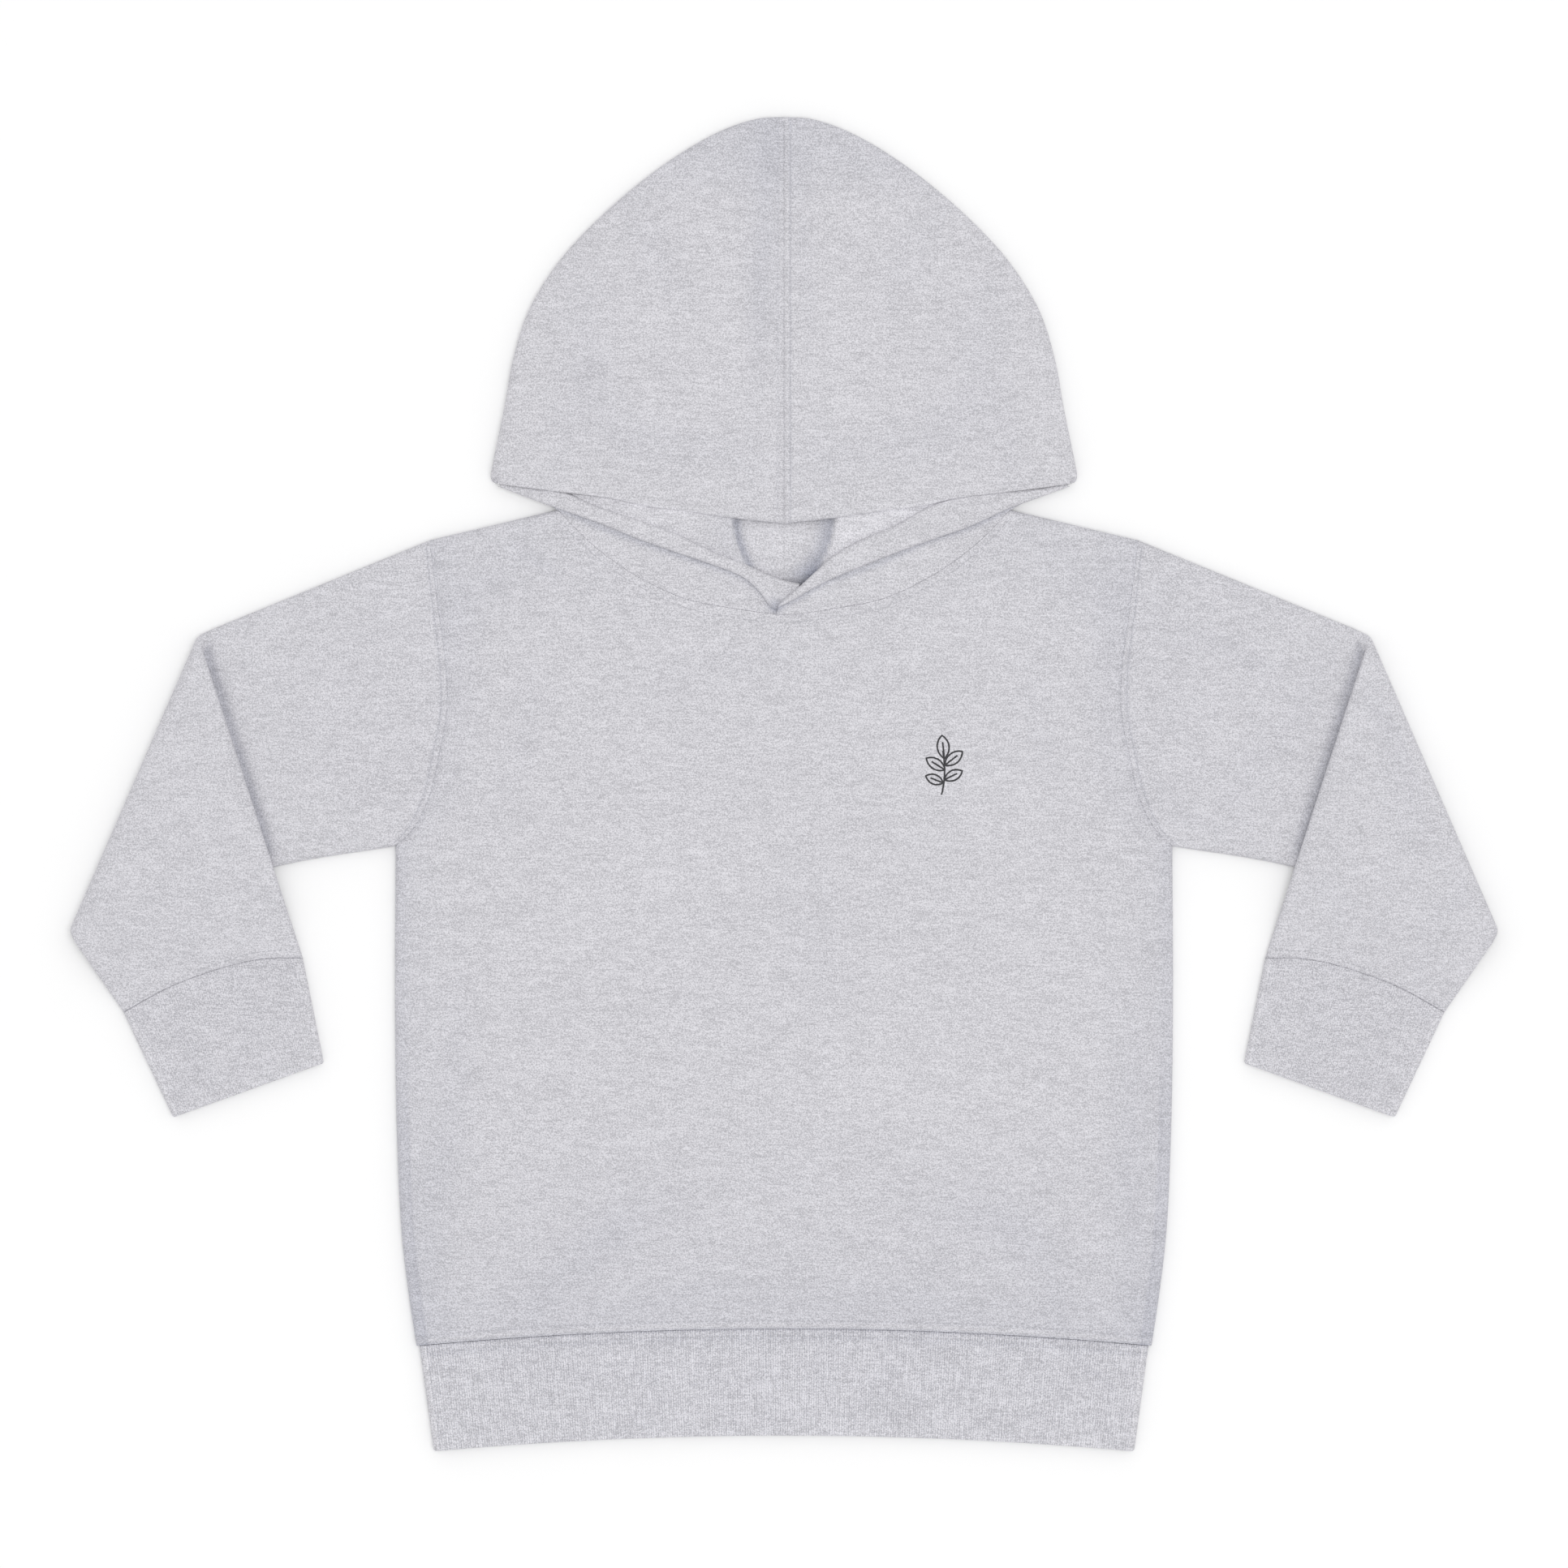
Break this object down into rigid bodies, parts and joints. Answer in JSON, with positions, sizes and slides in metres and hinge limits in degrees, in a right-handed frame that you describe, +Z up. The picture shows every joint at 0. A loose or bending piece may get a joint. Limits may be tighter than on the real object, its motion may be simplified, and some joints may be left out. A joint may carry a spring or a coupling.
{
  "type": "toddler hoodie",
  "caption": "Child's pullover hoodie in heather grey fleece, laid flat, forearms folded forward, with rib cuffs and waistband.",
  "frame": {"origin": "on the table under the middle of the laid-out garment", "axes": "+X towards the wearer's left, +Y from the hem to the hood, +Z up from the table"},
  "size_m": [0.632, 0.5913, 0.011],
  "materials": {
    "fleece": "heather grey brushed-back jersey, matt",
    "rib": "heather grey 1x1 rib knit, matt"
  },
  "bodies": {
    "root": {"front": "fleece", "back": "fleece", "waistband": "rib", "sleeve_left": "fleece", "cuff_left": "rib", "hood_left": "fleece", "sleeve_right": "fleece", "cuff_right": "rib", "hood_right": "fleece"}
  },
  "joints": []
}
